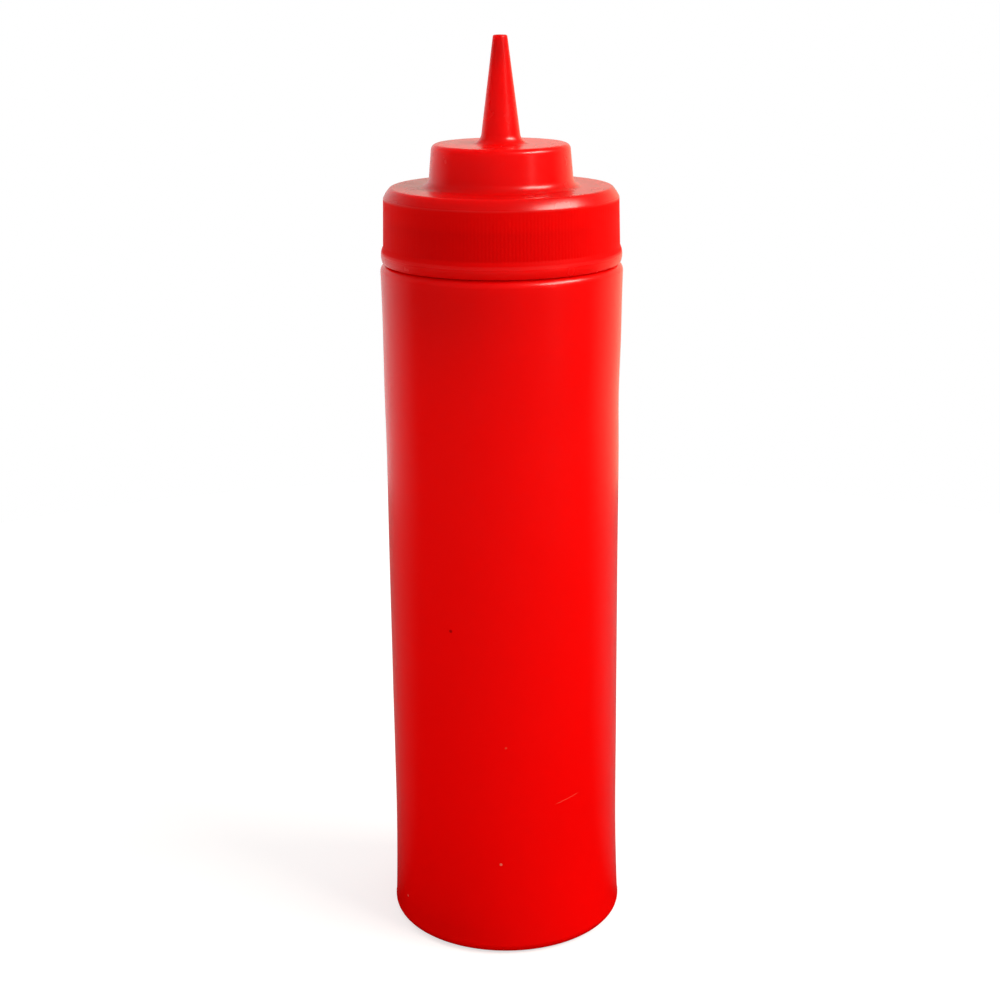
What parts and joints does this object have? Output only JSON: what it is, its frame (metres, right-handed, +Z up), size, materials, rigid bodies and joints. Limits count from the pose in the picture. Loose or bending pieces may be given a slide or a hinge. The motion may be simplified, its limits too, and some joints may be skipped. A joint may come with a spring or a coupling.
{
  "type": "squeeze bottle",
  "caption": "Tall round squeeze bottle for sauces, with a ribbed screw cap, a stepped hub and a cone-shaped nozzle.",
  "frame": {"origin": "centre of the base, on the surface that the bottle stands on", "axes": "+Z up along the bottle's axis, from the base to the nozzle's tip; the bottle is round, so +X and +Y are any two square directions"},
  "size_m": [0.0715, 0.0715, 0.2725],
  "materials": {
    "blow_moulded_red": "semi-gloss blow-moulded polyethylene, bright red",
    "injection_moulded_red": "semi-gloss injection-moulded polyethylene, bright red, finely ribbed skirt"
  },
  "bodies": {
    "root": {"bottle_body": "blow_moulded_red", "nozzle_cap": "injection_moulded_red"}
  },
  "joints": []
}
